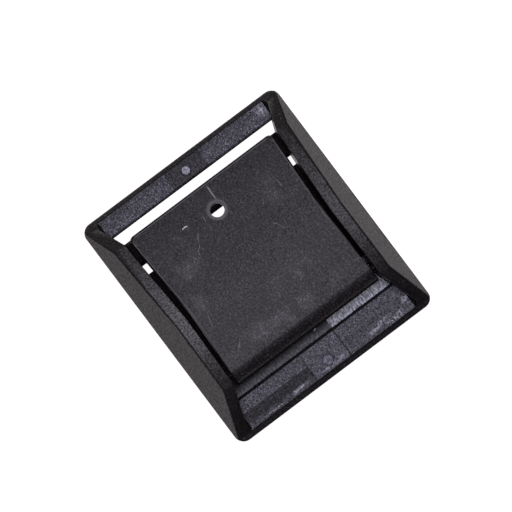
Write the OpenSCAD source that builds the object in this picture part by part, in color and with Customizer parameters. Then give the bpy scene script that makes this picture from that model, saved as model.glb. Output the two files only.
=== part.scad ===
// Cam-lever buckle for a web belt: a bezel and a base plate riveted together, with a lever on a trapped
// hinge pin. +X points to the hinge end, +Y across the belt and +Z up. The origin is at the middle of the
// underside. All sizes are millimetres.

/* [Belt] */
// Width of the webbing
belt_w = 38; // [25:1:50]
// Room between the webbing and both rails at the waist
belt_play = 1.1; // [0.4:0.1:2]
// Gap between the cam teeth and the floor with the lever shut
throat = 0.8; // [0.4:0.1:1.4]

/* [Body] */
// Overall length along the belt
body_l = 58.5; // [50:0.5:80]
// Height of the rails at the crease in the middle
body_h = 10.4; // [8.6:0.1:14]
// Plan radius of the four corners
corner_r = 2.3; // [1:0.1:4]
// Height of the rims at both ends
rim_h = 3.4; // [2.8:0.1:4]
// Height at which the outer sides start to slope in
slope_z = 2.5; // [1.8:0.1:2.8]
// How far the outer sides lean in at the crease
slope_run = 3.95; // [2.5:0.1:5]
// Width of the flat top of each rail
rail_top_w = 2.8; // [2.2:0.1:4]
// Wall of the hollow rails
wall = 1.25; // [0.9:0.05:1.6]
// Fall of the rails from the crease to the free end of the lever
free_drop = 2.2; // [0.5:0.1:2.6]
// Fall of the rails from the crease to the hinge
hinge_drop = 0.2; // [0:0.05:0.6]
// How much further apart the rails are at the free end than at the waist, on each side
flare_free = 1.1; // [0:0.1:1.5]
// The same at the hinge
flare_hinge = 0.3; // [0:0.05:0.8]

/* [Ends of the bezel] */
// Width of the rim at the free end
rim_free = 1.05; // [0.9:0.1:2]
// Width of the rim at the hinge end
rim_hinge = 1.4; // [0.9:0.1:2]
// Run of the sloped facets at the free end
facet_free = 6.55; // [4:0.1:8]
// Run of the sloped facets at the hinge end
facet_hinge = 10.6; // [7:0.1:13]
// Width of the pad at the free end
pad_free_w = 4.35; // [3:0.1:6]
// Width of the pad at the hinge end
pad_hinge_w = 6.8; // [5:0.1:8]
// Height of both pads
pad_z = 2.6; // [2.2:0.1:3]
// Chamfer on the inner edge of the free-end pad
chamfer_free = 0.35; // [0.1:0.05:0.5]
// Chamfer on the inner edge of the hinge-end pad
chamfer_hinge = 0.15; // [0.1:0.05:0.5]
// Room between the end of a pad and the wall of the bezel
pad_pocket = 0.75; // [0.4:0.05:1.2]

/* [Base plate] */
// Thickness of the base plate's flange
base_t = 1.3; // [1:0.1:1.7]
// Height of the floor that the webbing lies on
floor_z = 2; // [1.8:0.1:2.4]
// Free play of the base plate in the bezel, on each side
base_play = 0.1; // [0.05:0.05:0.3]
// Lip of the base plate that shows in the belt slot
lip_w = 0.25; // [0.1:0.05:0.6]
// Width of the belt slot at the free end
slot_w = 2.55; // [2:0.05:4]
// Width of the anchor bar
anchor_w = 6.1; // [4:0.1:8]
// Height of the anchor bar
anchor_z = 2.3; // [2:0.1:2.6]
// Width of the slot behind the anchor bar
rear_slot_w = 2.2; // [1.8:0.1:3]
// Gap between the floor and the hinge-end pad
joint_gap = 0.4; // [0.3:0.05:1]
// Height of the ridges under the cam
ridge_h = 0.25; // [0.1:0.05:0.4]

/* [Lever] */
// Distance from the hinge end of the bezel to the pin's axis
hinge_set = 13.75; // [12:0.05:16]
// Radius of the knuckle
knuckle_r = 2.8; // [2:0.1:3]
// Slope of the knuckle's outer shoulder, in degrees
shoulder_angle = 33; // [25:1:40]
// How far the lever lies below the tops of the rails
lever_sink = 0.25; // [0.1:0.05:0.6]
// Thickness of the lever's plate
plate_t = 1.8; // [1.2:0.1:2.4]
// Depth of the lever's side skirts below its top
skirt_h = 3; // [2.2:0.1:3.4]
// Thickness of the side skirts
skirt_t = 1.3; // [0.9:0.1:1.8]
// Gap between the lever and each rail at the waist
side_gap = 1.25; // [0.5:0.05:1.5]
// How much wider the lever is at its free edge than at its waist, on each side
lever_flare = 1.1; // [0.5:0.1:1.3]
// Gap between the lever and each rail at the hinge
hinge_gap = 0.85; // [0.3:0.05:1]
// How far the free edge reaches over the belt slot
overhang = 0.3; // [0:0.05:1]
// Plan radius of the lever's two free corners
lever_corner_r = 1.1; // [0.5:0.1:2]
// Radius of the rounded free edge
nose_r = 0.5; // [0.2:0.05:0.8]
// Diameter of the badge hole
badge_d = 3.2; // [2:0.1:4]
// Distance from the lever's free edge to the badge hole
badge_set = 6.4; // [4:0.1:10]
// Number of teeth on the cam
tooth_count = 5; // [3:1:7]
// Depth of the cam teeth
tooth_h = 0.5; // [0.3:0.05:0.7]

/* [Pin and rivets] */
// Diameter of the hinge pin
pin_d = 2; // [1.5:0.1:2.6]
// Running clearance round the pin in the lever, on the radius
pin_play = 0.05; // [0.02:0.01:0.1]
// Depth of the pin's socket in each rail
socket_l = 2.5; // [1.8:0.1:2.8]
// Diameter of the rivets' shanks
rivet_d = 1.5; // [1:0.1:1.8]
// Diameter of the free-end rivet's head
rivet_free_head_d = 2.1; // [1.8:0.1:3]
// Diameter of the hinge-end rivet's head
rivet_hinge_head_d = 2.6; // [2:0.1:3.4]
// Distance from the free end to its rivet
rivet_free_set = 3.3; // [2.6:0.01:4]
// Distance from the hinge end to its rivet
rivet_hinge_set = 3.7; // [3:0.1:5]

/* [Hidden] */

// Steps of round shapes, and the overshoot that makes a cut pass through a face
round_fn = 64;
cut = 1;
// Play of a rivet in its hole, of the pin's saddle and of the pin's ends
rivet_play = 0.03;
saddle_play = 0.05;
pin_end_play = 0.2;
// Flat behind the free-end rim before its facets rise
facet_step = 0.7;
// Side of the bezel beside the pads, from its foot in to the window
end_wall = 3.35;
// Cut corner of the window beside each pad: its two runs along the belt, and its depth
pocket_step = 0.45;
pocket_run = 1.2;
pocket_cut = 0.2;
// How far the ends of the anchor bar reach into the flange, and its edge radius
bar_root = 0.5;
anchor_r = 0.88;
// Room beside the floor and beside the posts, on each side
floor_play = 0.15;
post_play = 0.1;
// Seat of a rivet's head in its pad: depth, and room on the diameter
seat_depth = 0.2;
seat_room = 0.6;
// A rivet's head above its pad, and the break of its edge
head_rise = 0.15;
head_edge = 0.1;
// A rivet's upset tail: height, lift above the underside, and room on the diameter
tail_h = 0.5;
tail_lift = 0.05;
tail_room = 0.2;
// Ridges on the floor: count, spacing, half width, root below the floor, and start before the axis
ridge_count = 4;
ridge_pitch = 1.2;
ridge_half = 0.35;
ridge_root = 0.2;
ridge_set = 3;
// Chamfers on the two ends of the floor
floor_chamfer_free = 0.4;
floor_chamfer_hinge = 0.2;
// The cam's toothed arc about the pin: start and sweep in degrees, and the drop of its heel in cam radii
cam_start = -112;
cam_sweep = 44;
heel_drop = 0.6;
// Stiffening ribs under the lever: thickness and depth
rib_t = 1;
rib_h = 1.6;
// Overlap between two shapes of one outline
seam = 0.05;

// The width follows the webbing: half of the channel, then the rail's top, then its sloped side
channel_half = (belt_w + belt_play) / 2;
half_w = channel_half + rail_top_w + slope_run;
half_l = body_l / 2;
slope = slope_run / (body_h - slope_z);

// Places along X, counted in from the free end
rim_free_x = -half_l + rim_free;
facet_free_x = rim_free_x + facet_step;
crest_free_x = facet_free_x + facet_free;
pad_free_x = rim_free_x + pad_free_w;
slot_x = pad_free_x + lip_w;
anchor_x = slot_x + slot_w;
rear_slot_x = anchor_x + anchor_w;
floor_x = rear_slot_x + rear_slot_w;

// Places along X, counted in from the hinge end
rim_hinge_x = half_l - rim_hinge;
crest_hinge_x = rim_hinge_x - facet_hinge;
pad_hinge_x = rim_hinge_x - pad_hinge_w;
floor_end_x = pad_hinge_x - joint_gap;
axis_x = half_l - hinge_set;

// The tops of the rails, and of the lever between them
crest_free_z = body_h - free_drop;
crest_hinge_z = body_h - hinge_drop;
lever_top_z = body_h - lever_sink;
lever_hinge_z = crest_hinge_z - lever_sink;
axis_z = lever_hinge_z - knuckle_r;
cam_r = axis_z - floor_z - throat;

// The lever's free edge, which falls with the rails
lever_x = anchor_x - overhang;
free_slope = free_drop / -crest_free_x;
lever_free_z = lever_top_z + lever_x * free_slope;
plate_angle = atan(free_slope);
badge_x = lever_x + badge_set;

// Half widths of the lever at its free edge, waist and knuckle
lever_waist_half = channel_half - side_gap;
lever_free_half = lever_waist_half + lever_flare;
lever_hinge_half = channel_half + flare_hinge - hinge_gap;

// Where the inner wall of the bezel stands beside the pads
window_end_half = half_w - end_wall;
pad_half = window_end_half - pad_pocket;
pin_half = channel_half + flare_hinge + socket_l;
socket_w = 3 * pin_d;
anchor_half = channel_half + bar_root;

// A prism along Y whose outline lies in the XZ plane
module along_y(half) {
  translate([0, half, 0])
    rotate([90, 0, 0])
      linear_extrude(2 * half)
        children();
}

// A prism along X whose outline lies in the YZ plane
module along_x(x0, x1) {
  translate([x0, 0, 0])
    rotate([90, 0, 90])
      linear_extrude(x1 - x0)
        children();
}

module rounded_plan(l, w, r) {
  union() {
    square([l - 2 * r, w], center = true);
    square([l, w - 2 * r], center = true);
    for (sx = [-1, 1], sy = [-1, 1])
      translate([sx * (l / 2 - r), sy * (w / 2 - r)])
        circle(r, $fn = round_fn);
  }
}

// Side view of the bezel: low rims, a facet up to each crest, and a crease in the middle
module side_profile(inset) {
  polygon([
    [-half_l, 0], [-half_l, rim_h - inset], [facet_free_x, rim_h - inset],
    [crest_free_x, crest_free_z - inset], [0, body_h - inset], [crest_hinge_x, crest_hinge_z - inset],
    [rim_hinge_x, rim_h - inset], [half_l, rim_h - inset], [half_l, 0]
  ]);
}

// End view of the bezel: upright foot, then sides that lean in at one slope up to the tops
module end_profile(inset) {
  lean = inset * sqrt(1 + slope * slope);
  foot = half_w - inset;
  knee_z = slope_z - (lean - inset) / slope;
  top = half_w - slope_run - lean;
  polygon([[-foot, 0], [-foot, knee_z], [-top, body_h], [top, body_h], [foot, knee_z], [foot, 0]]);
}

// The whole bezel without its window, drawn inset by a wall for the hollow inside it
module bezel_block(inset = 0) {
  intersection() {
    linear_extrude(body_h)
      rounded_plan(body_l - 2 * inset, 2 * (half_w - inset), corner_r - inset);
    along_y(half_w + cut)
      side_profile(inset);
    along_x(-half_l - cut, half_l + cut)
      end_profile(inset);
  }
}

// Half of the window's outline, from the free end to the hinge end, moved out by grow
function window_side(grow) = [
  [rim_free_x, pad_half + grow],
  [rim_free_x + pocket_step, window_end_half - pocket_cut + grow],
  [rim_free_x + pocket_run, window_end_half + grow],
  [crest_free_x, channel_half + flare_free + grow],
  [0, channel_half + grow],
  [crest_hinge_x, channel_half + flare_hinge + grow],
  [rim_hinge_x - pocket_run, window_end_half + grow],
  [rim_hinge_x - pocket_step, window_end_half - pocket_cut + grow],
  [rim_hinge_x, pad_half + grow]
];

function mirrored(side) = concat(side, [for (i = [len(side) - 1:-1:0]) [side[i][0], -side[i][1]]]);

module window_plan(grow = 0) {
  polygon(mirrored(window_side(grow)));
}

// The hollow in each rail, which stops short of the pin's socket
module rail_hollows() {
  difference() {
    intersection() {
      bezel_block(wall);
      translate([crest_free_x, -half_w, 0])
        cube([crest_hinge_x + facet_hinge / 2 - crest_free_x, 2 * half_w, body_h]);
    }
    translate([0, 0, -cut])
      linear_extrude(body_h + 2 * cut)
        window_plan(wall);
    translate([axis_x - socket_w / 2, -half_w, -cut])
      cube([socket_w, 2 * half_w, body_h + 2 * cut]);
  }
}

// The pin's sockets: upright slots with round tops, blind to the outside and open from below
module pin_slot(r, half) {
  union() {
    translate([axis_x, half, axis_z])
      rotate([90, 0, 0])
        cylinder(h = 2 * half, r = r, $fn = round_fn);
    translate([axis_x - r, -half, 0])
      cube([2 * r, 2 * half, axis_z]);
  }
}

// A pad, with the chamfer on its inner edge; side is 1 where that edge faces +X
module pad(x_rim, x_edge, side, chamfer) {
  x_root = x_rim - side * rim_free / 2;
  along_y(pad_half)
    polygon([
      [x_root, base_t], [x_edge, base_t], [x_edge, pad_z - chamfer],
      [x_edge - side * chamfer, pad_z], [x_root, pad_z]
    ]);
}

module rivet_hole(x, head_d) {
  union() {
    translate([x, 0, -cut])
      cylinder(h = pad_z + 2 * cut, d = rivet_d + 2 * rivet_play, $fn = round_fn);
    translate([x, 0, pad_z - seat_depth])
      cylinder(h = seat_depth + cut, d = head_d + seat_room, $fn = round_fn);
  }
}

module cover_frame() {
  color("#3b393d")
    difference() {
      union() {
        difference() {
          bezel_block();
          translate([0, 0, -cut])
            linear_extrude(body_h + 2 * cut)
              window_plan();
          rail_hollows();
          pin_slot(pin_d / 2 + saddle_play, pin_half);
        }
        pad(rim_free_x, pad_free_x, 1, chamfer_free);
        pad(rim_hinge_x, pad_hinge_x, -1, chamfer_hinge);
      }
      translate([(rim_free - rim_hinge) / 2, 0, -cut])
        linear_extrude(base_t + cut)
          rounded_plan(body_l - rim_free - rim_hinge, 2 * (half_w - wall), corner_r - rim_free);
      rivet_hole(-half_l + rivet_free_set, rivet_free_head_d);
      rivet_hole(half_l - rivet_hinge_set, rivet_hinge_head_d);
    }
}

// The recess for a rivet's upset tail, and the hole for its shank
module rivet_tail_hole(x) {
  union() {
    translate([x, 0, -cut])
      cylinder(h = base_t + 2 * cut, d = rivet_d + 2 * rivet_play, $fn = round_fn);
    translate([x, 0, -cut])
      cylinder(h = tail_h + cut, d = 2 * rivet_d + tail_room, $fn = round_fn);
  }
}

// The anchor bar's section, with its edges rounded for the webbing
module anchor_profile() {
  union() {
    translate([anchor_x + anchor_r, 0])
      square([anchor_w - 2 * anchor_r, anchor_z]);
    translate([anchor_x, anchor_r])
      square([anchor_w, anchor_z - 2 * anchor_r]);
    for (x = [anchor_x + anchor_r, rear_slot_x - anchor_r], z = [anchor_r, anchor_z - anchor_r])
      translate([x, z])
        circle(anchor_r, $fn = round_fn);
  }
}

// The floor with its chamfered far edge and the ridges that the cam presses the webbing on
module floor_profile() {
  union() {
    polygon([
      [floor_x, 0], [floor_x, floor_z - floor_chamfer_free], [floor_x + floor_chamfer_free, floor_z],
      [floor_end_x - floor_chamfer_hinge, floor_z], [floor_end_x, floor_z - floor_chamfer_hinge],
      [floor_end_x, 0]
    ]);
    for (i = [0:ridge_count - 1])
      translate([axis_x - ridge_set + i * ridge_pitch, floor_z])
        polygon([[-ridge_half, -ridge_root], [ridge_half, -ridge_root], [0, ridge_h]]);
  }
}

// The floor, which reaches out to the walls of the window
module floor_block() {
  intersection() {
    along_y(window_end_half)
      floor_profile();
    translate([0, 0, -cut])
      linear_extrude(body_h)
        window_plan(-floor_play);
  }
}

// Posts that close the pin's sockets from below and carry the pin
module pin_saddles() {
  inner = channel_half + flare_hinge + post_play;
  outer = pin_half - post_play;
  for (side = [-1, 1])
    translate([axis_x - pin_d / 2 + saddle_play, side > 0 ? inner : -outer, base_t / 2])
      cube([pin_d - 2 * saddle_play, outer - inner, axis_z - pin_d / 2 - saddle_play - base_t / 2]);
}

// A cut across the base plate between two places along X
module cut_across(x0, x1, half) {
  translate([x0, -half])
    square([x1 - x0, 2 * half]);
}

module base_plate() {
  plate_l = body_l - rim_free - rim_hinge - 2 * base_play;
  plate_w = 2 * (half_w - wall - base_play);
  color("#46454a")
    difference() {
      union() {
        linear_extrude(base_t)
          difference() {
            translate([(rim_free - rim_hinge) / 2, 0])
              rounded_plan(plate_l, plate_w, corner_r - rim_free);
            cut_across(slot_x, anchor_x, window_end_half);
            cut_across(rear_slot_x, floor_x, channel_half + flare_free);
            cut_across(slot_x, floor_x, channel_half);
          }
        along_y(anchor_half)
          anchor_profile();
        floor_block();
        pin_saddles();
      }
      rivet_tail_hole(-half_l + rivet_free_set);
      rivet_tail_hole(half_l - rivet_hinge_set);
    }
}

// Plan of the lever: two free corners rounded, a waist at the crease, and the knuckle's end
module lever_plan(inset = 0) {
  x1 = axis_x + knuckle_r + cut;
  difference() {
    polygon(mirrored([
      [lever_x, lever_free_half - inset], [0, lever_waist_half - inset],
      [axis_x, lever_hinge_half - inset], [x1, lever_hinge_half - inset]
    ]));
    for (side = [-1, 1])
      translate([lever_x, side * lever_free_half])
        mirror([0, side > 0 ? 1 : 0])
          difference() {
            translate([-cut, -cut])
              square(lever_corner_r + cut);
            translate([lever_corner_r, lever_corner_r])
              circle(lever_corner_r, $fn = round_fn);
          }
  }
}

// Side view of the plate from its top down to depth, with the free edge rounded
module plate_profile(depth) {
  union() {
    polygon([
      [lever_x + nose_r, lever_free_z], [0, lever_top_z], [axis_x, lever_hinge_z],
      [axis_x, lever_hinge_z - depth], [0, lever_top_z - depth],
      [lever_x + nose_r, lever_free_z - depth]
    ]);
    polygon([
      [lever_x, lever_free_z - nose_r], [lever_x + nose_r + seam, lever_free_z - nose_r],
      [lever_x + nose_r + seam, lever_free_z - depth], [lever_x + nose_r, lever_free_z - depth]
    ]);
    translate([lever_x + nose_r, lever_free_z - nose_r])
      circle(nose_r, $fn = round_fn);
  }
}

// The cam hangs from the knuckle; its rim is an arc about the pin, cut into teeth
module cam_profile() {
  root_r = cam_r - tooth_h;
  step = cam_sweep / tooth_count;
  last = cam_start + cam_sweep;
  rim = [for (i = [0:tooth_count - 1])
    let (a = cam_start + i * step)
    each [
      [axis_x + root_r * cos(a), axis_z + root_r * sin(a)],
      [axis_x + cam_r * cos(a + step / 2), axis_z + cam_r * sin(a + step / 2)]
    ]];
  polygon(concat(
    [[axis_x - knuckle_r, axis_z]],
    rim,
    [[axis_x + root_r * cos(last), axis_z + root_r * sin(last)],
     [axis_x + knuckle_r, axis_z - heel_drop * cam_r], [axis_x + knuckle_r, axis_z]]
  ));
}

// The knuckle's round section, cut off level with the plate and along its sloping shoulder
module knuckle_profile() {
  drop = 2 * knuckle_r * tan(shoulder_angle);
  intersection() {
    translate([axis_x, axis_z])
      circle(knuckle_r, $fn = round_fn);
    polygon([
      [axis_x - 2 * knuckle_r, lever_hinge_z], [axis_x, lever_hinge_z],
      [axis_x + 2 * knuckle_r, lever_hinge_z - drop], [axis_x + 2 * knuckle_r, 0],
      [axis_x - 2 * knuckle_r, 0]
    ]);
  }
}

module lever() {
  color("#403e42")
    difference() {
      union() {
        intersection() {
          along_y(lever_free_half + cut)
            plate_profile(skirt_h);
          translate([0, 0, -cut])
            linear_extrude(body_h + 2 * cut)
              lever_plan();
        }
        intersection() {
          along_y(lever_hinge_half)
            union() {
              knuckle_profile();
              cam_profile();
            }
          translate([0, 0, -cut])
            linear_extrude(body_h + 2 * cut)
              lever_plan();
        }
      }
      // The underside between the skirts, with three ribs left standing
      difference() {
        intersection() {
          along_y(lever_free_half + cut)
            polygon([
              [lever_x - cut, lever_free_z - plate_t - cut * free_slope], [0, lever_top_z - plate_t],
              [axis_x - knuckle_r, lever_hinge_z - plate_t], [axis_x - knuckle_r, 0],
              [lever_x - cut, 0]
            ]);
          translate([0, 0, -cut])
            linear_extrude(body_h + 2 * cut)
              lever_plan(skirt_t);
        }
        for (y = [-0.5, 0, 0.5] * lever_waist_half)
          translate([0, y, 0])
            along_y(rib_t / 2)
              polygon([
                [floor_x + rib_h, lever_top_z - plate_t],
                [floor_x + 2 * rib_h, lever_top_z - plate_t - rib_h],
                [axis_x, lever_hinge_z - plate_t - rib_h], [axis_x, lever_top_z]
              ]);
      }
      translate([axis_x, lever_hinge_half + cut, axis_z])
        rotate([90, 0, 0])
          cylinder(h = 2 * (lever_hinge_half + cut), r = pin_d / 2 + pin_play, $fn = round_fn);
      translate([badge_x, 0, lever_top_z + badge_x * free_slope])
        rotate([0, -plate_angle, 0])
          translate([0, 0, -skirt_h])
            cylinder(h = skirt_h + cut, d = badge_d, $fn = round_fn);
    }
}

module hinge_pin() {
  half = pin_half - pin_end_play;
  chamfer = 0.2;
  color("silver")
    translate([axis_x, 0, axis_z])
      rotate([90, 0, 0])
        rotate_extrude($fn = round_fn)
          polygon([
            [0, -half], [pin_d / 2 - chamfer, -half], [pin_d / 2, -half + chamfer],
            [pin_d / 2, half - chamfer], [pin_d / 2 - chamfer, half], [0, half]
          ]);
}

// A rivet: a low round head in the pad, a shank and an upset tail under the base plate
module rivet(x, head_d) {
  color("#6a6b70")
    translate([x, 0, 0])
      rotate_extrude($fn = round_fn)
        polygon([
          [0, tail_lift], [rivet_d, tail_lift], [rivet_d, tail_h], [rivet_d / 2, tail_h],
          [rivet_d / 2, pad_z - seat_depth], [head_d / 2, pad_z - seat_depth],
          [head_d / 2, pad_z + head_rise - head_edge], [head_d / 2 - head_edge, pad_z + head_rise],
          [0, pad_z + head_rise]
        ]);
}

module rivet_free_end() {
  rivet(-half_l + rivet_free_set, rivet_free_head_d);
}

module rivet_hinge_end() {
  rivet(half_l - rivet_hinge_set, rivet_hinge_head_d);
}

cover_frame();
base_plate();
lever();
hinge_pin();
rivet_free_end();
rivet_hinge_end();
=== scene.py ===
import math

import bpy
from mathutils import Matrix, Vector


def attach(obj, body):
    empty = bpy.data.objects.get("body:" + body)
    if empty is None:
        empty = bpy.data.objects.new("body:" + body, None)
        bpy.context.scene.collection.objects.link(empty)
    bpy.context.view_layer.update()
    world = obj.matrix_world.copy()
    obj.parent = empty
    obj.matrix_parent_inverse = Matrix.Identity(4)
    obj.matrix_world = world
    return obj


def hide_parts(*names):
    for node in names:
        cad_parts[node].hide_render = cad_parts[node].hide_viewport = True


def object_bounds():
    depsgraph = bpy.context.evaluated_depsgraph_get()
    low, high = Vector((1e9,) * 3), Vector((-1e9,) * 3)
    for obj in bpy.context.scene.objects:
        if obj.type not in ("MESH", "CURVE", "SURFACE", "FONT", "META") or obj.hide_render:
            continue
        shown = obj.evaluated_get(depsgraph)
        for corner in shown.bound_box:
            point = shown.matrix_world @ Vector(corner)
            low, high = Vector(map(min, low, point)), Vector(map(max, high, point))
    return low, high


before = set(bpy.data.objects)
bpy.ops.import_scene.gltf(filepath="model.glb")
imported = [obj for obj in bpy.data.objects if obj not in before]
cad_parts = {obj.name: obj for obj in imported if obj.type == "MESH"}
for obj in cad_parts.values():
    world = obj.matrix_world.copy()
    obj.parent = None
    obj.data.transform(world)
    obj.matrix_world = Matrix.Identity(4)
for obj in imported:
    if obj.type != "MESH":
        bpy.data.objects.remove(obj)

CAD_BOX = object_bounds()
MM = 0.001

# Places and sizes on the buckle, in millimetres, with the middle of its underside at the origin:
# +X points to the hinge end, +Y across the belt, +Z up. Slopes, falls and flares are millimetres
# for each millimetre, and leans are in degrees.

# The bezel: outline, sloping sides, end rims, crests of the side rails. A point of a leaning rim
# counts as part of the sloping side until it has dipped by RIM_DIP.
HALF_L = 29.25
HALF_W = 26.3
CORNER_R = 2.3
CORNER_CENTRE = (26.95, 24.0)
CORNER_FROM_X = 28.35
SIDE_Z = 2.5
SIDE_SLOPE = 0.5
RIM_Z = 3.4
RIM_FREE_X = -27.5
RIM_HINGE_X = 27.85
RIM_LEAN = 10.0
RIM_DIP = 0.18
CREST_FREE_X = -20.95
CREST_HINGE_X = 17.25

# The end pads, the mould inserts that cross them, and the edges of the seam beside the floor
PAD_Z = 2.6
PAD_INNER_X = 20.8
PAD_HALF_W = 22.5
INSERT_LOW_Y = -4.5
INSERT_HIGH_Y = 4.7
# Where a band of painted shade starts on the hinge-end pad
SHADE_BAND_X = 24.1
# Edges of the gap between floor and pad; next to them both are painted dark as shade in the gap
SEAM_FLOOR_X = 20.57
SEAM_PAD_X = 21.13

# The part of the base's floor that the belt rubs
FLOOR_X = (10.0, 20.7)
FLOOR_LOW_Z = 1.7
FLOOR_HALF_W = 19.9

# The hinge axis and the knuckle round it
AXIS_X = 15.5
AXIS_Z = 7.15
SOCKET_R = 1.3
KNUCKLE_X = 18.3
KNUCKLE_Z = 7.6

# The lever's top: it falls both ways from a crease above the origin, then drops to the knuckle
LEVER_EDGE_X = -21.35
HOLLOW_END_X = 12.7
SHOULDER_TOP_X = 16.1
SHOULDER_FOOT_X = 17.9
SHOULDER_FOOT_Z = 8.75
LEVER_STATIONS = (LEVER_EDGE_X, -14, -7, -5, -2.5, 0, 2.5, 5, 8, HOLLOW_END_X, SHOULDER_TOP_X)
LEVER_CREASE_Z = 10.15
LEVER_FALL = 0.105
LEVER_HINGE_FALL = 0.013

# The lever's width, walls, ribs and badge hole
LEVER_WAIST = 18.3
LEVER_FLARE_FREE = 0.0515
LEVER_FLARE_HINGE = 0.045
PLATE_T = 1.8
SKIRT_H = 3.0
SKIRT_T = 1.3
RIB_STATIONS = ((-11.2, 0.0), (-9.6, 1.6), (0.0, 1.6), (13.5, 1.6))
RIB_PLACES = (-9.15, 0, 9.15)
RIB_T = 1.0
RIB_ROOT = 0.5
BADGE_X = -14.95
BADGE_R = 1.6
BADGE_HALO_R = 2.3

# The curl of nylon beside the badge hole: its middle, the radius it curls to, its own thickness
BURR = (-14.8, -7.97)
BURR_CURL_R = 1.3
BURR_WIRE_R = 0.13

# Radii of the rounded edges
OUTER_EDGE_R = 0.4
WINDOW_EDGE_R = 0.12
LEVER_CORNER_R = 1.35
SHOULDER_R = 1.25
PLATE_EDGE_R = 0.55
BADGE_EDGE_R = 0.15
RIVET_EDGE_R = 0.12


# --- Mesh work ------------------------------------------------------------------------------

def linear(hex_colour):
    """An sRGB hex colour as the linear RGBA that shaders and lights take."""
    parts = [int(hex_colour[i:i + 2], 16) / 255 for i in (1, 3, 5)]
    steps = [p / 12.92 if p <= 0.04045 else ((p + 0.055) / 1.055) ** 2.4 for p in parts]
    return tuple(steps) + (1.0,)


def close_edit():
    bpy.ops.object.mode_set(mode="OBJECT")


def activate(piece):
    """Selects one object only and makes it the one that operators act on."""
    bpy.ops.object.select_all(action="DESELECT")
    piece.select_set(True)
    bpy.context.view_layer.objects.active = piece


def select(piece, kind, test, among=None):
    """Opens edit mode with only the points, edges or faces that pass the test selected.

    The test gets places in millimetres: one point, an edge's two ends, or a face's centre and
    normal. Edges can be held to a set of vertex pairs.
    """
    activate(piece)
    bpy.ops.object.mode_set(mode="EDIT")
    bpy.ops.mesh.select_mode(type=kind)
    bpy.ops.mesh.select_all(action="DESELECT")
    close_edit()
    mesh = piece.data
    if kind == "VERT":
        for point in mesh.vertices:
            point.select = test(point.co / MM)
    if kind == "EDGE":
        for edge in mesh.edges:
            ends = [mesh.vertices[i].co / MM for i in edge.vertices]
            edge.select = (among is None or tuple(edge.vertices) in among) and test(*ends)
    if kind == "FACE":
        for face in mesh.polygons:
            face.select = test(face.center / MM, face.normal)
    bpy.ops.object.mode_set(mode="EDIT")


def settle(piece, name):
    """Names a new primitive and puts its place into its mesh."""
    piece.name = name
    piece.data.name = name
    activate(piece)
    bpy.ops.object.transform_apply(location=True, rotation=True, scale=True)
    return piece


def block(name, low, high):
    """A block between two corners, in millimetres."""
    bpy.ops.object.select_all(action="DESELECT")
    middle = (Vector(high) + Vector(low)) / 2 * MM
    size = (Vector(high) - Vector(low)) * MM
    bpy.ops.mesh.primitive_cube_add(size=1.0, location=middle, scale=size)
    return settle(bpy.context.object, name)


def slice_at(piece, x):
    """Adds a ring of edges where a plane across the belt crosses the piece."""
    select(piece, "FACE", lambda centre, normal: True)
    bpy.ops.mesh.bisect(plane_co=(x * MM, 0, 0), plane_no=(1, 0, 0))
    close_edit()


def shift(piece, test, move):
    """Moves the points that pass the test, in millimetres."""
    select(piece, "VERT", test)
    bpy.ops.transform.translate(value=Vector(move) * MM)
    close_edit()


def widen(piece, test, factor):
    """Stretches the points that pass the test away from the middle of the belt."""
    select(piece, "VERT", test)
    bpy.ops.transform.resize(value=(1, factor, 1), center_override=(0, 0, 0))
    close_edit()


def join(piece, *others):
    """Makes other objects part of the piece."""
    activate(piece)
    for other in others:
        other.select_set(True)
    bpy.ops.object.join()


def cut_away(piece, tool):
    """Cuts a tool's shape out of a piece and throws the tool away."""
    activate(piece)
    knife = piece.modifiers.new("cut", "BOOLEAN")
    knife.operation = "DIFFERENCE"
    knife.solver = "MANIFOLD"
    knife.object = tool
    bpy.ops.object.modifier_apply(modifier=knife.name)
    bpy.data.objects.remove(tool)


def moulding(node, name):
    """A piece on the shape of a CAD node, its doubles merged and its flat faces made whole."""
    piece = bpy.data.objects.new(name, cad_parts[node].data.copy())
    bpy.context.scene.collection.objects.link(piece)
    piece.data.name = name
    activate(piece)
    bpy.ops.object.mode_set(mode="EDIT")
    bpy.ops.mesh.select_mode(type="VERT")
    bpy.ops.mesh.select_all(action="SELECT")
    bpy.ops.mesh.remove_doubles(threshold=0.002 * MM)
    bpy.ops.mesh.dissolve_limited(angle_limit=math.radians(0.4))
    close_edit()
    return piece


def sharp_edges(piece, angle):
    """The set of vertex pairs of the edges that turn by more than the angle."""
    activate(piece)
    bpy.ops.object.mode_set(mode="EDIT")
    bpy.ops.mesh.select_mode(type="EDGE")
    bpy.ops.mesh.select_all(action="DESELECT")
    bpy.ops.mesh.edges_select_sharp(sharpness=math.radians(angle))
    close_edit()
    return {tuple(edge.vertices) for edge in piece.data.edges if edge.select}


def round_edges(piece, radius, segments, test, angle=25):
    """Rounds the sharp edges whose two ends pass the test, by a radius in millimetres."""
    select(piece, "EDGE", test, sharp_edges(piece, angle))
    bpy.ops.mesh.bevel(
        offset=radius * MM, segments=segments, affect="EDGES", clamp_overlap=False)
    close_edit()


def smooth(piece, angle=30):
    """Drops zero-sized faces, then shades so that flat faces stay flat and roundings curve."""
    select(piece, "VERT", lambda point: True)
    bpy.ops.mesh.remove_doubles(threshold=0.003 * MM)
    bpy.ops.mesh.dissolve_degenerate(threshold=0.003 * MM)
    close_edit()
    bpy.ops.object.shade_smooth_by_angle(angle=math.radians(angle))
    weighted = piece.modifiers.new("flat_faces", "WEIGHTED_NORMAL")
    weighted.keep_sharp = True
    weighted.weight = 100
    bpy.ops.object.modifier_apply(modifier=weighted.name)


def dress(piece, node, body, slot, *finishes):
    """Hides the piece's CAD node and gives the piece its body and its materials; the slot is not
    used.
    """
    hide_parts(node)
    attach(piece, body)
    piece.data.materials.clear()
    for finish in finishes:
        piece.data.materials.append(finish)


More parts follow.
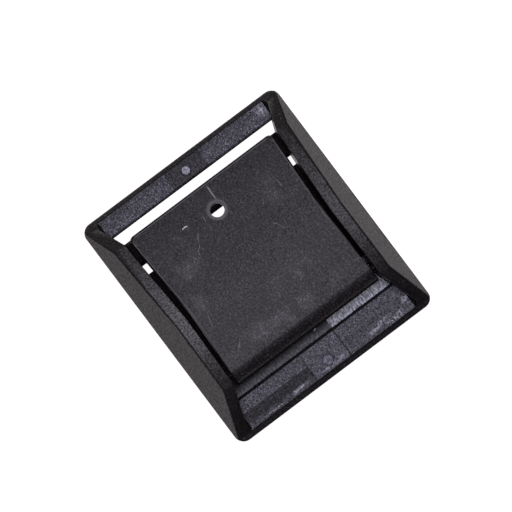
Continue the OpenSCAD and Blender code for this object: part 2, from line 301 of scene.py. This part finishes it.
def paint_faces(piece, index, test):
    """Gives the faces that pass the test another of the piece's materials."""
    for face in piece.data.polygons:
        if test(face.center / MM, face.normal):
            face.material_index = index


# --- Materials ------------------------------------------------------------------------------
#
# Masks are values from nought to one. A MapRange node takes its value at socket 0, the range it
# comes from at 1 and 2 (0 to 1 if left out), and the range it goes to at 3 and 4 (0 to 1). A Mix
# of colours takes its share at 0, the colour below at 6 and the colour on top at 7.

def add(tree, kind, links, out=0, **settings):
    """Adds a shader node with its settings and links, and gives one of its outputs."""
    made = tree.nodes.new("ShaderNode" + kind)
    for key, value in settings.items():
        setattr(made, key, value)
    for socket, source in links.items():
        if isinstance(source, bpy.types.NodeSocket):
            tree.links.new(source, made.inputs[socket])
        elif isinstance(source, str):
            made.inputs[socket].default_value = linear(source)
        else:
            made.inputs[socket].default_value = source
    return made.outputs[out]


def new_finish(name, roughness, metallic=0.0):
    """A material, its node tree, its shader and the Object coordinates in millimetres."""
    material = bpy.data.materials.new(name)
    material.use_nodes = True
    tree = material.node_tree
    shader = tree.nodes["Principled BSDF"]
    shader.inputs["Roughness"].default_value = roughness
    shader.inputs["Metallic"].default_value = metallic
    shader.inputs["IOR"].default_value = 1.53
    coordinates = add(tree, "TexCoord", {}, 3)
    place = add(tree, "Mapping", {"Vector": coordinates, "Scale": (1 / MM, 1 / MM, 1 / MM)})
    return material, tree, shader, place


def axes(tree, place, count=2):
    """The first two or all three parts of a place."""
    return [add(tree, "SeparateXYZ", {0: place}, axis) for axis in range(count)]


def mottle(tree, place, size, low, high, detail=2.0, stretch=(1, 1, 1)):
    """Blotches of a size in millimetres: nought where the noise is low, one where it is high."""
    scaled = add(tree, "VectorMath", {0: place, 1: stretch}, operation="MULTIPLY")
    noise = {"Vector": scaled, "Scale": 0.5 / size, "Detail": detail, "Roughness": 0.55}
    field = add(tree, "TexNoise", noise)
    return add(tree, "MapRange", {0: field, 1: low, 2: high}, interpolation_type="SMOOTHSTEP")


def band(tree, value, low, high, soft):
    """One between low and high, nought outside, with soft edges."""
    rise = add(tree, "MapRange", {0: value, 1: low - soft, 2: low + soft})
    fall = add(tree, "MapRange", {0: value, 1: high - soft, 2: high + soft, 3: 1.0, 4: 0.0})
    return overlap(tree, rise, fall)


def overlap(tree, *masks):
    """One only where all the masks are."""
    total = masks[0]
    for mask in masks[1:]:
        total = add(tree, "Math", {0: total, 1: mask}, operation="MULTIPLY")
    return total


def strongest(tree, *masks):
    """One where any of the masks is."""
    total = masks[0]
    for mask in masks[1:]:
        total = add(tree, "Math", {0: total, 1: mask}, operation="MAXIMUM")
    return total


def fade(tree, value, mask, share):
    """Brings a value to a share of itself where the mask is."""
    return overlap(tree, value, add(tree, "MapRange", {0: mask, 3: 1.0, 4: share}))


def layer(tree, under, over, share, *masks):
    """Lays a share of a colour over another one where all the masks are."""
    mix = {0: overlap(tree, share, *masks), 6: under, 7: over}
    return add(tree, "Mix", mix, 2, data_type="RGBA")


def patch(tree, place, centre, size, turn=0.0, soft=0.5):
    """One inside a blurred ellipse seen from above, nought outside it, at any height."""
    any_height = 1000
    ellipse = {
        "Vector": place,
        "Location": (*centre, 0),
        "Scale": (*size, any_height),
        "Rotation": (0, 0, math.radians(turn)),
    }
    moved = add(tree, "Mapping", ellipse, vector_type="TEXTURE")
    length = add(tree, "VectorMath", {0: moved}, 1, operation="LENGTH")
    return add(tree, "MapRange", {0: length, 1: 1 - soft, 2: 1 + soft, 3: 1.0, 4: 0.0})


def scratch(tree, place, start, end, width, wander=0.3):
    """One along a scratch from start to end, nought beside it; it wanders a little."""
    run = math.dist(start, end)
    turn = math.atan2(end[1] - start[1], end[0] - start[0])
    line = {"Vector": place, "Location": (*start, 0), "Rotation": (0, 0, turn)}
    moved = add(tree, "Mapping", line, vector_type="TEXTURE")
    drift = mottle(tree, place, 1.2, 0.25, 0.75, 1.0)
    along, aside = axes(tree, moved)
    off = add(tree, "Math", {0: drift, 1: 2 * wander, 2: aside}, operation="MULTIPLY_ADD")
    body = band(tree, along, 0.1 * run, 0.9 * run, 0.1 * run)
    return overlap(tree, body, band(tree, off, wander - width / 2, wander + width / 2, width / 3))


def coat(tree, shader, base, gloss, relief, depth):
    """Gives the shader its colour, its gloss and a relief of a depth in millimetres."""
    normal = add(tree, "Bump", {"Height": relief, "Distance": depth * MM, "Strength": 1.0})
    tree.links.new(base, shader.inputs["Base Color"])
    tree.links.new(gloss, shader.inputs["Specular IOR Level"])
    tree.links.new(normal, shader.inputs["Normal"])


def bezel_nylon():
    """Black glass-filled nylon from a spark-eroded mould: a fine even satin grain.

    The tops of the side rails are rubbed shinier than the slopes, most so on one side.
    """
    material, tree, shader, place = new_finish("nylon_black_eroded_bezel", 0.4)
    grain = mottle(tree, place, 0.17, 0.35, 0.75)
    nicks = mottle(tree, place, 0.3, 0.7, 0.76, 1.0)
    x, y = axes(tree, place)
    rails = band(tree, add(tree, "Math", {0: y}, operation="ABSOLUTE"), 15.0, PAD_HALF_W, 0.1)
    rails = overlap(tree, rails, band(tree, x, CREST_FREE_X, CREST_HINGE_X, 0.3))
    base = layer(tree, layer(tree, "#110e0f", "#242122", 1.0, grain), "#77757a", 0.38, nicks)
    gloss = add(tree, "MapRange", {0: mottle(tree, place, 0.2, 0.3, 0.7), 3: 0.065, 4: 0.275})
    rubbed = add(tree, "MapRange", {0: y, 1: -19.0, 2: 19.0, 3: 2.3, 4: 1.7})
    gloss = fade(tree, gloss, rails, rubbed)
    coat(tree, shader, base, gloss, grain, 0.009)
    return material


def pad_nylon():
    """The same nylon from rougher mould inserts: a coarse grain with painted glints and pits.

    Black witness lines mark the edges of the inserts, and painted shade darkens the pad's edge at
    the gap by the floor and a band near the hinge end. The belt has scuffed the hinge end white.
    """
    material, tree, shader, place = new_finish("nylon_black_coarse_pads", 0.46)
    x, y = axes(tree, place)
    coarse = mottle(tree, place, 0.2, 0.3, 0.7, 3.0)
    glints = mottle(tree, place, 0.15, 0.58, 0.7, 1.0)
    pits = mottle(tree, place, 0.18, 0.58, 0.68, 1.0, (1, 1, 1.7))
    # Black witness lines at the inserts' edges, and painted shade on the pad's edge at the gap by
    # the floor
    seams_and_gap_shade = strongest(
        tree,
        band(tree, y, INSERT_LOW_Y - 0.07, INSERT_LOW_Y + 0.07, 0.06),
        band(tree, y, INSERT_HIGH_Y - 0.1, INSERT_HIGH_Y + 0.1, 0.06),
        band(tree, x, 0.0, SEAM_PAD_X, 0.04),
    )
    middle = band(tree, y, INSERT_LOW_Y, INSERT_HIGH_Y, 0.1)
    free_end = add(tree, "Math", {0: x, 1: 0.0}, operation="LESS_THAN")
    low_side = add(tree, "Math", {0: y, 1: INSERT_LOW_Y}, operation="LESS_THAN")
    high_side = add(tree, "Math", {0: y, 1: INSERT_HIGH_Y}, operation="GREATER_THAN")
    # A band of painted shade on the hinge-end pad, crisp on its inner side and ragged on its
    # outer, fainter on the high side
    ragged = add(tree, "Math", {0: x, 1: mottle(tree, place, 0.9, 0.25, 0.75)}, operation="ADD")
    ragged_shade_edge = band(tree, ragged, 22.0, 27.0, 0.25)
    shade_band = overlap(tree, band(tree, x, SHADE_BAND_X, HALF_L, 0.08), ragged_shade_edge, low_side)
    faint_shade_band = overlap(tree, band(tree, x, SHADE_BAND_X, 25.6, 0.25), high_side)
    outer_part = overlap(tree, band(tree, x, 26.2, HALF_L, 0.2), low_side)
    scuffs = strongest(
        tree,
        patch(tree, place, (25.0, 21.4), (0.35, 0.9), 25, 0.7),
        patch(tree, place, (25.2, 21.2), (0.9, 0.3), 20, 0.7),
        patch(tree, place, (26.9, 18.6), (0.5, 1.0), 20, 0.7),
        patch(tree, place, (27.1, 16.6), (0.4, 1.6), -8, 0.7),
        patch(tree, place, (26.3, 13.0), (0.4, 2.6), 12, 0.8),
        patch(tree, place, (26.9, -8.4), (0.3, 1.7), 0),
        patch(tree, place, (27.1, -9.9), (0.5, 0.5), 0),
        patch(tree, place, (27.3, -15.5), (0.12, 2.2), 0, 0.8),
        patch(tree, place, (26.9, 1.0), (0.4, 3.0), 0, 0.8),
        patch(tree, place, (-26.8, 21.0), (1.0, 1.0), 0, 0.8),
    )
    base = layer(tree, "#1b191e", "#545360", 1.0, coarse)
    # Pale specks painted into the colour as glints
    base = layer(tree, base, "#a9aab8", 0.7, glints)
    base = layer(tree, base, "#0f0e10", 0.75, pits)
    base = layer(tree, base, "#8a8b98", 0.07, middle)
    base = layer(tree, base, "#1c1a1d", 0.85, middle, free_end)
    base = layer(tree, base, "#1d1a1d", 0.75, shade_band)
    base = layer(tree, base, "#1c1a1d", 0.35, faint_shade_band)
    base = layer(tree, base, "#1c1a1d", 0.35, outer_part)
    base = layer(tree, base, "#c6c6d0", 0.9, scuffs, mottle(tree, place, 0.24, 0.47, 0.56))
    seams_and_gap_shade = fade(tree, seams_and_gap_shade, free_end, 0.4)
    base = layer(tree, base, "#0c0b0d", 1.0, seams_and_gap_shade)
    gloss = add(tree, "MapRange", {0: mottle(tree, place, 0.22, 0.35, 0.65), 3: 0.1, 4: 0.5})
    for mask, share in ((free_end, 0.7), (shade_band, 0.5), (seams_and_gap_shade, 0.15)):
        gloss = fade(tree, gloss, mask, share)
    coat(tree, shader, base, gloss, coarse, 0.014)
    return material


def floor_nylon():
    """Nylon floor in front of the knuckle, burnished grey by webbing past the insert's line; the
    pale grey there is partly painted sheen.

    Close to the knuckle it is darkened with a painted shadow of the knuckle, and its edge by the
    pad is painted dark as the shade in the gap. A torn spot shows as a pale and a black fleck.
    """
    material, tree, shader, place = new_finish("nylon_black_burnished_floor", 0.36)
    x, y = axes(tree, place)
    streaks = mottle(tree, place, 0.2, 0.36, 0.66, 2.0, (0.4, 1, 1))
    # Where webbing burnished the floor: real wear, with a pale bluish grey painted in as its sheen
    rubbed = add(tree, "MapRange", {0: y, 1: INSERT_HIGH_Y + 0.1, 2: INSERT_HIGH_Y + 0.3})
    # Black witness line at the insert's edge, and painted shade on the floor's edge at the gap by
    # the pad
    seams_and_gap_shade = strongest(
        tree,
        band(tree, y, INSERT_HIGH_Y - 0.08, INSERT_HIGH_Y + 0.08, 0.05),
        band(tree, x, SEAM_FLOOR_X, HALF_L, 0.04),
    )
    # Painted shadow of the knuckle on the floor, darkest beside it and gone 1.6 mm further out
    knuckle_shadow = add(tree, "MapRange", {0: x, 1: 18.6, 2: 20.2, 3: 1.0, 4: 0.0})
    knuckle_shadow = fade(tree, knuckle_shadow, rubbed, 0.2)
    pale_fleck = patch(tree, place, (18.62, 1.7), (0.17, 0.36), 20, 0.4)
    black_fleck = patch(tree, place, (19.0, 1.3), (0.3, 0.7), -15, 0.5)
    base = layer(tree, "#242227", "#4a4950", 1.0, streaks)
    base = layer(tree, base, layer(tree, "#43454f", "#b2b6c6", 1.0, streaks), 1.0, rubbed)
    base = layer(tree, base, "#131214", 0.75, knuckle_shadow)
    base = layer(tree, base, "#c8cad2", 0.8, pale_fleck)
    base = layer(tree, base, "#0c0b0d", 0.9, black_fleck)
    base = layer(tree, base, "#0c0b0d", 1.0, seams_and_gap_shade)
    gloss = add(tree, "MapRange", {0: streaks, 3: 0.2, 4: 0.36})
    gloss = fade(tree, gloss, rubbed, 2.0)
    gloss = fade(tree, gloss, knuckle_shadow, 0.2)
    coat(tree, shader, base, gloss, streaks, 0.005)
    return material


def base_nylon():
    """Black nylon of the base plate, matt from the mould, made darker than the other nylon as
    painted shade for the gaps where it shows.
    """
    material, tree, shader, place = new_finish("nylon_black_matt_base", 0.5)
    grain = mottle(tree, place, 0.2, 0.3, 0.7)
    gloss = add(tree, "MapRange", {0: grain, 3: 0.02, 4: 0.06})
    base = layer(tree, "#0b0a0c", "#1a191b", 1.0, grain)
    coat(tree, shader, base, gloss, grain, 0.004)
    return material


def lever_nylon():
    """Black nylon of the lever: a fine mould grain, rubbed pale in clouds by fingers and belts.

    The rounded edge of the plate carries a thin pale line of painted highlight and wear, inside a
    dark outline of painted shade, and a painted glint runs along the sides near the middle. A pale
    ring is rubbed round the badge hole, and a gouge runs from it to the edge. The front of the
    knuckle is darkened with painted shade. The pale marks are only on the top.
    """
    material, tree, shader, place = new_finish("nylon_black_handled_lever", 0.4)
    x, y, z = axes(tree, place, 3)
    fine = mottle(tree, place, 0.15, 0.3, 0.7)
    speckle = mottle(tree, place, 0.16, 0.52, 0.68, 2.0, (0.7, 1, 1))
    clouds = strongest(
        tree,
        patch(tree, place, (-8.5, -12.8), (5.0, 2.6), -10, 0.7),
        patch(tree, place, (-2.5, -14.0), (4.0, 1.8), -10, 0.7),
        patch(tree, place, (11.8, -3.0), (1.9, 13.0), 0, 0.7),
        patch(tree, place, (7.5, 4.5), (4.0, 4.5), 0, 0.7),
        patch(tree, place, (-11.8, 13.5), (3.5, 3.0), 0, 0.7),
    )
    wisps = mottle(tree, place, 2.4, 0.4, 0.6, 5.0, (0.7, 1, 1))
    halo = patch(tree, place, (BADGE_X, 0), (BADGE_HALO_R, BADGE_HALO_R), 0, 0.1)

    # Distance from the middle with the plate's flare taken out, for lines along its sides
    flare = 0.049
    width = add(tree, "Math", {0: y}, operation="ABSOLUTE")
    length = add(tree, "Math", {0: x}, operation="ABSOLUTE")
    aside = add(tree, "Math", {0: length, 1: -flare, 2: width}, operation="MULTIPLY_ADD")
    # A pale line on the rounded edges: painted highlight and wear
    rounded = strongest(
        tree,
        overlap(tree, band(tree, aside, 17.82, 17.98, 0.08), band(tree, x, -20.2, 15.0, 0.3)),
        overlap(tree, band(tree, x, -20.95, -20.8, 0.08), band(tree, width, -1.0, 18.0, 0.3)),
    )
    # Painted shade on the side walls and the free end's face, outside the rounded edge
    outline = strongest(
        tree,
        overlap(tree, band(tree, aside, 18.1, 30.0, 0.08), band(tree, x, -40.0, -9.0, 2.0)),
        band(tree, x, -40.0, -21.02, 0.08),
    )
    # A painted glint along the sides near the middle
    glint = overlap(tree, band(tree, aside, 18.1, 18.26, 0.06), band(tree, x, -2.0, 8.0, 2.0))

    # The top of the plate: high enough once its fall to the free end is taken out
    top_low_z = 9.1
    sloped = add(tree, "Math", {0: x, 1: -LEVER_FALL}, operation="MULTIPLY")
    fall = add(tree, "Math", {0: sloped, 1: 0.0}, operation="MAXIMUM")
    level = add(tree, "Math", {0: z, 1: fall}, operation="ADD")
    above = add(tree, "Math", {0: level, 1: top_low_z}, operation="GREATER_THAN")
    faint_marks = strongest(
        tree,
        scratch(tree, place, (-15.8, -3.2), (-14.2, -3.5), 0.2, 0.3),
        scratch(tree, place, (-13.6, -6.3), (-11.4, -7.6), 0.2, 0.3),
        scratch(tree, place, (-11.6, -7.5), (-9.0, -9.0), 0.2, 0.3),
        scratch(tree, place, (-12.8, 14.0), (-10.4, 14.6), 0.22, 0.25),
        scratch(tree, place, (2.0, -15.5), (5.5, -16.0), 0.16, 0.3),
        scratch(tree, place, (9.5, -12.5), (12.5, -14.8), 0.16, 0.3),
        scratch(tree, place, (-6.0, 7.5), (-2.5, 9.5), 0.14, 0.3),
    )
    base = layer(tree, "#131012", "#262225", 1.0, fine)
    base = layer(tree, base, "#67656b", 0.36, speckle)
    cloudy = layer(tree, "#423f43", "#6f6d73", 1.0, speckle)
    base = layer(tree, base, cloudy, 0.9, clouds, wisps, above)
    base = layer(tree, base, "#5e5c61", 0.85, halo, above)
    base = layer(tree, base, "#77767c", 0.6, rounded, above)
    base = layer(tree, base, "#a3a2a8", 0.5, glint, above)
    base = layer(tree, base, "#0a090a", 0.7, outline)
    base = layer(tree, base, "#a09fa6", 0.3, faint_marks, above)
    gouge = scratch(tree, place, (-20.6, 1.3), (-16.8, 1.15), 0.26, 0.1)
    base = layer(tree, base, "#a3a2a8", 0.65, gouge, above)
    # Painted shade on the front of the knuckle, which turns down away from the light
    knuckle_front_shade = add(tree, "MapRange", {0: x, 1: 17.6, 2: 17.95})
    base = layer(tree, base, "#080708", 0.9, knuckle_front_shade)
    gloss = add(tree, "MapRange", {0: mottle(tree, place, 0.18, 0.3, 0.7), 3: 0.1, 4: 0.31})
    ramps = ((-21.0, -13.0, 0.74, 1.0), (-6.0, 11.0, 0.9, 1.05), (15.8, 16.6, 1.0, 0.6))
    for start, end, low, high in ramps:
        ramp = add(tree, "MapRange", {0: x, 1: start, 2: end, 3: low, 4: high})
        gloss = overlap(tree, gloss, ramp)
    gloss = fade(tree, gloss, knuckle_front_shade, 0.15)
    gloss = fade(tree, gloss, outline, 0.3)
    coat(tree, shader, base, gloss, fine, 0.005)
    return material


def torn_nylon():
    """Stress-whitened nylon, where a nick has raised the skin."""
    material, tree, shader, place = new_finish("nylon_stress_whitened", 0.6)
    base = layer(tree, "#b4b3b8", "#f0f0f2", 1.0, mottle(tree, place, 0.2, 0.3, 0.7))
    tree.links.new(base, shader.inputs["Base Color"])
    return material


def steel(name, roughness, shade, light):
    """Drawn or headed steel wire, dulled by handling; the light shade shows in fine blotches."""
    material, tree, shader, place = new_finish(name, roughness, 1.0)
    base = layer(tree, shade, light, 1.0, mottle(tree, place, 0.3, 0.35, 0.65))
    tree.links.new(base, shader.inputs["Base Color"])
    return material


# --- Pieces ---------------------------------------------------------------------------------

def on_outer_edge(point):
    """Whether a point lies where the tops and rims meet the bezel's outer sides and corners."""
    x, y, z = abs(point.x), abs(point.y), point.z
    near = 0.06
    side_y = HALF_W - SIDE_SLOPE * (z - SIDE_Z)
    on_side = z > RIM_Z - RIM_DIP and abs(y - side_y) < near
    on_corner = x > CORNER_FROM_X and math.dist((x, y), CORNER_CENTRE) > CORNER_R - near
    return z > PAD_Z and (on_side or on_corner or x > HALF_L - near)


def build_bezel():
    """The bezel with its end pads: rims that lean outwards, soft outside and crisp inside."""
    piece = moulding("cover_frame", "bezel")
    for foot, side in ((RIM_FREE_X, -1), (RIM_HINGE_X, 1)):
        select(piece, "VERT", lambda p: (p.x - foot) * side > 0.05 and abs(p.z - RIM_Z) < 0.05)
        bpy.ops.transform.rotate(
            value=math.radians(-RIM_LEAN * side), orient_axis="Y",
            center_override=(foot * MM, 0, RIM_Z * MM))
        close_edit()

    def on_window_edge(a, b):
        by_axis = max(abs(a.x - AXIS_X), abs(b.x - AXIS_X)) < SOCKET_R
        in_socket = by_axis and min(a.z, b.z) < 9
        return min(a.z, b.z) > SIDE_Z and (a - b).length > 0.5 and not in_socket

    def on_pad(centre, normal):
        level = PAD_Z - 0.5 < centre.z < PAD_Z + 0.1 and normal.z > 0.5
        return level and abs(centre.x) > PAD_INNER_X and abs(centre.y) < PAD_HALF_W

    round_edges(piece, OUTER_EDGE_R, 5, lambda a, b: on_outer_edge(a) and on_outer_edge(b), 20)
    round_edges(piece, WINDOW_EDGE_R, 3, on_window_edge, 40)
    smooth(piece)
    dress(piece, "cover_frame", "root", "cover_nylon", bezel_nylon(), pad_nylon())
    paint_faces(piece, 1, on_pad)


def build_base():
    """The base plate, with the burnished floor between the lever and the hinge-end pad."""
    def on_floor(centre, normal):
        facing_up = centre.z > FLOOR_LOW_Z and normal.z > 0.3
        return facing_up and FLOOR_X[0] < centre.x < FLOOR_X[1] and abs(centre.y) < FLOOR_HALF_W

    piece = moulding("base_plate", "base")
    smooth(piece)
    dress(piece, "base_plate", "root", "base_nylon", base_nylon(), floor_nylon())
    paint_faces(piece, 1, on_floor)


def eased(x, left, right, run=5.0):
    """Two slopes that meet at the crease, joined by a curve that starts and ends a run away."""
    if x < -run:
        return left * x
    if x > run:
        return right * x
    return (right - left) / (4 * run) * x * x + (left + right) / 2 * x + (right - left) * run / 4


def lever_top(x):
    """The height of the plate's top, up to the shoulder."""
    return LEVER_CREASE_Z + eased(x, LEVER_FALL, -LEVER_HINGE_FALL)


def lever_half(x):
    """Half of the plate's width, which is least at the crease."""
    return LEVER_WAIST + eased(x, -LEVER_FLARE_FREE, LEVER_FLARE_HINGE)


def lever_rib(y):
    """A stiffening rib rooted in the plate's underside, from a ramp to the knuckle."""
    first, last = RIB_STATIONS[0][0], RIB_STATIONS[-1][0]
    rib = block("rib", (first, y - RIB_T / 2, -1), (last, y + RIB_T / 2, 1))
    for x, _ in RIB_STATIONS[1:-1]:
        slice_at(rib, x)
    for x, depth in RIB_STATIONS:
        under = lever_top(x) - PLATE_T
        shift(rib, lambda p: abs(p.x - x) < 0.01 and p.z > 0, (0, 0, under + RIB_ROOT - 1))
        shift(rib, lambda p: abs(p.x - x) < 0.01 and p.z < 0, (0, 0, under - depth + 1))
    return rib


def build_lever():
    """The lever: a creased plate with skirts, a sloping shoulder, and the toothed cam below it."""
    piece = block("cam_lever", (LEVER_EDGE_X, -1, -1), (KNUCKLE_X, 1, 1))
    tops = {x: lever_top(x) for x in LEVER_STATIONS}
    tops[SHOULDER_FOOT_X] = SHOULDER_FOOT_Z
    tops[KNUCKLE_X] = KNUCKLE_Z
    for x in list(tops)[1:-1]:
        slice_at(piece, x)
    for x, top in tops.items():
        foot = top - SKIRT_H if x < HOLLOW_END_X else AXIS_Z - 0.05
        widen(piece, lambda p: abs(p.x - x) < 0.01, lever_half(min(x, AXIS_X)))
        shift(piece, lambda p: abs(p.x - x) < 0.01 and abs(p.z - 1) < 0.1, (0, 0, top - 1))
        shift(piece, lambda p: abs(p.x - x) < 0.01 and abs(p.z + 1) < 0.1, (0, 0, foot + 1))

    def at_free_corner(a, b):
        return max(a.x, b.x) < LEVER_EDGE_X + 0.01 and abs(a.y - b.y) < 0.01

    def on_shoulder(a, b):
        across = abs(a.x - SHOULDER_TOP_X) < 0.01 and abs(a.x - b.x) < 0.01
        return across and min(a.z, b.z) > 9

    def round_the_top(a, b):
        above = [p.z > (lever_top(p.x) - 0.05 if p.x < 14 else KNUCKLE_Z) for p in (a, b)]
        return all(above) and (abs(a.x - b.x) > 0.001 or max(a.x, b.x) < -21)

    round_edges(piece, LEVER_CORNER_R, 8, at_free_corner)
    round_edges(piece, SHOULDER_R, 8, on_shoulder)
    round_edges(piece, PLATE_EDGE_R, 5, round_the_top, 40)

    # The hollow underside and the badge hole
    select(piece, "FACE", lambda c, n: n.z < -0.9 and c.x < HOLLOW_END_X)
    bpy.ops.mesh.inset(thickness=SKIRT_T * MM)
    bpy.ops.mesh.extrude_region_move(
        TRANSFORM_OT_translate={"value": (0, 0, (SKIRT_H - PLATE_T) * MM)})
    close_edit()
    bpy.ops.mesh.primitive_cylinder_add(
        vertices=64, radius=BADGE_R * MM, depth=10 * MM,
        location=(BADGE_X * MM, 0, lever_top(BADGE_X) * MM),
        rotation=(0, -math.atan(LEVER_FALL), 0))
    cut_away(piece, settle(bpy.context.object, "badge_drill"))

    def on_badge_hole(a, b):
        near = all(math.dist((p.x, p.y), (BADGE_X, 0)) < BADGE_R + 0.1 for p in (a, b))
        return near and min(a.z, b.z) > lever_top(BADGE_X) - 0.5

    round_edges(piece, BADGE_EDGE_R, 2, on_badge_hole)

    # The ribs, and the toothed cam: what two oversize blocks leave of the CAD lever, which is the
    # part below the axis and behind the hollow
    cam = moulding("lever", "cam")
    cut_away(cam, block("upper_part", (-40, -30, AXIS_Z), (40, 30, 20)))
    cut_away(cam, block("plate_part", (-40, -30, -5), (HOLLOW_END_X - 0.1, 30, 20)))
    join(piece, cam, *[lever_rib(y) for y in RIB_PLACES])
    smooth(piece)
    dress(piece, "lever", "lever", "lever_nylon", lever_nylon())


def build_burr():
    """A curl of whitened nylon raised by a nick: a sixth of a ring, half sunk in the plate."""
    x, y = BURR
    bpy.ops.object.select_all(action="DESELECT")
    bpy.ops.mesh.primitive_torus_add(
        major_segments=48, minor_segments=8,
        major_radius=BURR_CURL_R * MM, minor_radius=BURR_WIRE_R * MM,
        location=(x * MM, y * MM, lever_top(x) * MM), rotation=(0, -math.atan(LEVER_FALL), 0))
    burr = settle(bpy.context.object, "burr")
    for turn in (-1, 1):
        select(burr, "FACE", lambda centre, normal: True)
        bpy.ops.mesh.bisect(
            plane_co=(x * MM, y * MM, 0), plane_no=(0.5, turn * 0.87, 0),
            use_fill=True, clear_outer=True)
        close_edit()
    smooth(burr)
    dress(burr, "lever", "lever", "lever_nylon", torn_nylon())


def build_pin():
    """The hinge pin, of which only glints show between the lever and the rails."""
    # The steel is painted very dark as shade, so the pin shows only faint glints
    wire = steel("steel_drawn_wire", 0.5, "#141416", "#202023")
    piece = moulding("hinge_pin", "axle")
    smooth(piece)
    dress(piece, "hinge_pin", "root", "pin_steel", wire)


def build_rivets():
    """The round heads in the two pads, each with a soft edge; the free end's head is a painted lit
    copy of the steel and the hinge end's a painted shaded copy.
    """
    lit_rivet_finish = steel("steel_headed_rivet_painted_lit", 0.45, "#4c4d54", "#74757f")
    shaded_rivet_finish = steel("steel_headed_rivet_painted_shaded", 0.5, "#45464c", "#62636b")
    rivets = (
        ("rivet_free_end", "rivet_free", lit_rivet_finish),
        ("rivet_hinge_end", "rivet_hinge", shaded_rivet_finish),
    )
    for node, name, finish in rivets:
        piece = moulding(node, name)
        round_edges(piece, RIVET_EDGE_R, 3, lambda a, b: min(a.z, b.z) > PAD_Z + 0.1)
        smooth(piece)
        dress(piece, node, "root", "rivet_steel", finish)


build_bezel()
build_base()
build_lever()
build_burr()
build_pin()
build_rivets()


# --- Floor, light and camera ----------------------------------------------------------------

def build_floor():
    """A white floor lit from within, like a light table, so no shadow falls on it."""
    bpy.ops.object.select_all(action="DESELECT")
    bpy.ops.mesh.primitive_plane_add(size=4.0, location=(0, 0, CAD_BOX[0][2] - 0.2 * MM))
    floor = bpy.context.object
    floor.name = "light_table"
    material, tree, shader, _ = new_finish("opal_acrylic_lit", 0.6)
    shader.inputs["Base Color"].default_value = linear("#8c8c8c")
    shader.inputs["Emission Color"].default_value = linear("#fffafc")
    shader.inputs["Emission Strength"].default_value = 1.0
    floor.data.materials.append(material)


def add_softbox(name, place, aim, width, depth, radiance, tint):
    """A rectangular light of a given radiance that faces the aim point; places in metres."""
    data = bpy.data.lights.new(name, "AREA")
    data.shape = "RECTANGLE"
    data.size = width
    data.size_y = depth
    data.energy = math.pi * width * depth * radiance
    data.color = linear(tint)[:3]
    light = bpy.data.objects.new(name, data)
    bpy.context.scene.collection.objects.link(light)
    back = (Vector(place) - Vector(aim)).normalized()
    side = Vector((0, 1, 0)).cross(back).normalized()
    turn = Matrix((side, back.cross(side), back)).transposed().to_4x4()
    light.matrix_world = Matrix.Translation(Vector(place)) @ turn
    light.visible_camera = False


def build_lights():
    """A large softbox overhead, a low one at the free end, and a dim room round them."""
    add_softbox("key", (-0.07, -0.02, 1.3), (0, 0, 0), 0.6, 0.95, 5.2, "#f6f2ff")
    add_softbox("left_fill", (-1.0, 0.0, 0.35), (0, 0, 0), 0.35, 1.2, 5.5, "#fffaf6")
    world = bpy.data.worlds.new("dim_room")
    bpy.context.scene.world = world
    world.use_nodes = True
    backdrop = world.node_tree.nodes["Background"]
    backdrop.inputs["Color"].default_value = linear("#ffffff")
    backdrop.inputs["Strength"].default_value = 0.03


# The lens, what the view spans from side to side, where its middle lies, and its lean in degrees
LENS = 300.0
VIEW_WIDTH = 111.49 * MM
AIM_HEIGHT = 3.0 * MM
AIM_ASIDE = -0.33 * MM
AIM_ABOVE = 2.12 * MM
LEAN = 3.0


def build_camera():
    """A long lens nearly square to the front, rolled so that the belt runs down to the right."""
    data = bpy.data.cameras.new("camera")
    data.lens = LENS
    data.sensor_width = 36.0
    data.clip_end = 20.0
    camera = bpy.data.objects.new("camera", data)
    bpy.context.scene.collection.objects.link(camera)
    back = Vector((0.0, -math.sin(math.radians(LEAN)), math.cos(math.radians(LEAN))))
    across = Vector((0.6, 0.8, 0.0))
    across = (across - across.dot(back) * back).normalized()
    above = back.cross(across)
    aim = Vector((0.0, 0.0, AIM_HEIGHT)) + across * AIM_ASIDE + above * AIM_ABOVE
    turn = Matrix((across, above, back)).transposed().to_4x4()
    distance = VIEW_WIDTH * data.lens / data.sensor_width
    camera.matrix_world = Matrix.Translation(aim + back * distance) @ turn
    bpy.context.scene.camera = camera


build_floor()
build_lights()
build_camera()
bpy.context.scene.view_settings.view_transform = "Standard"
